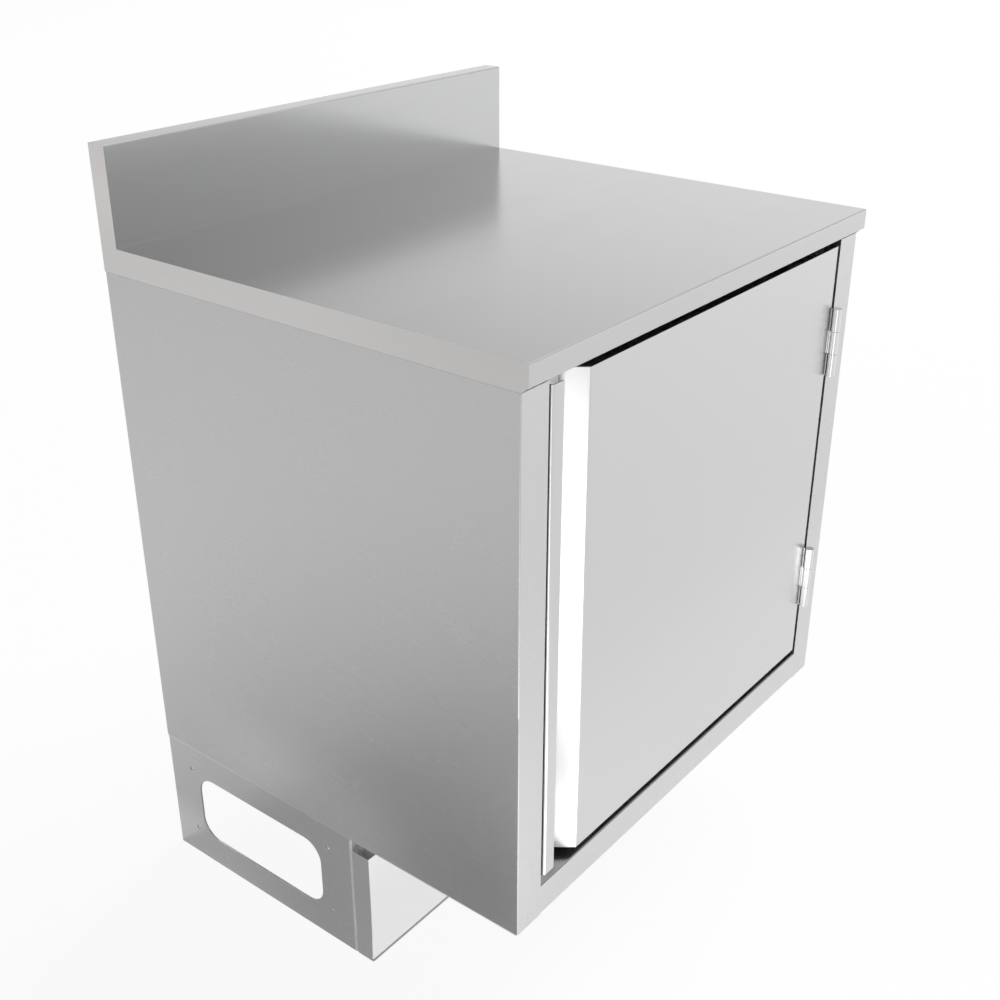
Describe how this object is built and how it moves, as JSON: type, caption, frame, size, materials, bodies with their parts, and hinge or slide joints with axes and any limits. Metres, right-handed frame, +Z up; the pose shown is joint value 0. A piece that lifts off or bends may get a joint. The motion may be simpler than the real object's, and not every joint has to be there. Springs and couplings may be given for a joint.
{
  "type": "underbar cabinet",
  "caption": "Free-standing stainless steel underbar cabinet with a flat deck, backsplash, right-hinged door with a full-height finger pull, windowed leg plates and a recessed kick panel.",
  "frame": {"origin": "on the floor at the centre of the bounding box", "axes": "+X to the right seen from the front, +Y towards the wall, +Z up"},
  "size_m": [0.61, 0.541, 0.862],
  "materials": {
    "deck_steel": "fine brushed, grain across the width",
    "body_steel": "fine brushed, satin",
    "door_steel": "fine brushed, near mirror",
    "inner_steel": "mill finish",
    "leg_steel": "satin",
    "kick_steel": "fine brushed",
    "hinge_steel": "polished",
    "fastener_steel": "plain",
    "strike_steel": "plain",
    "catch_plastic": "moulded",
    "rubber": "matte"
  },
  "bodies": {
    "cabinet": {"deck": "deck_steel", "hat_channel_front": "inner_steel", "hat_channel_rear": "inner_steel", "side_panel_left": "body_steel", "side_panel_right": "body_steel", "back_panel": "inner_steel", "floor_pan": "inner_steel", "rail_bottom": "body_steel", "rail_top": "body_steel", "shelf": "inner_steel", "shelf_ledge_left": "inner_steel", "shelf_ledge_right": "inner_steel", "leg_plate_left": "leg_steel", "leg_plate_right": "leg_steel", "base_bolts": "fastener_steel", "kick_panel": "kick_steel", "kick_screws": "fastener_steel", "frame_backer_upper": "inner_steel", "frame_backer_lower": "inner_steel", "frame_leaf_upper": "hinge_steel", "frame_leaf_lower": "hinge_steel", "hinge_pin_upper": "hinge_steel", "hinge_pin_lower": "hinge_steel", "hinge_screws_frame": "fastener_steel", "catch_housing": "catch_plastic", "catch_screws": "fastener_steel", "door_bumpers": "rubber"},
    "door": {"door_skin": "door_steel", "door_pull": "door_steel", "door_liner": "inner_steel", "door_stiffener": "inner_steel", "door_backer_upper": "inner_steel", "door_backer_lower": "inner_steel", "door_leaf_upper": "hinge_steel", "door_leaf_lower": "hinge_steel", "hinge_screws_door": "fastener_steel", "strike_plate": "strike_steel"}
  },
  "joints": [
    {"name": "door_hinge", "type": "hinge", "parent": "cabinet", "child": "door", "pos_m": [0.2645, -0.2655, 0.465], "axis": [0, 0, 1], "range_deg": [0, 180]}
  ]
}
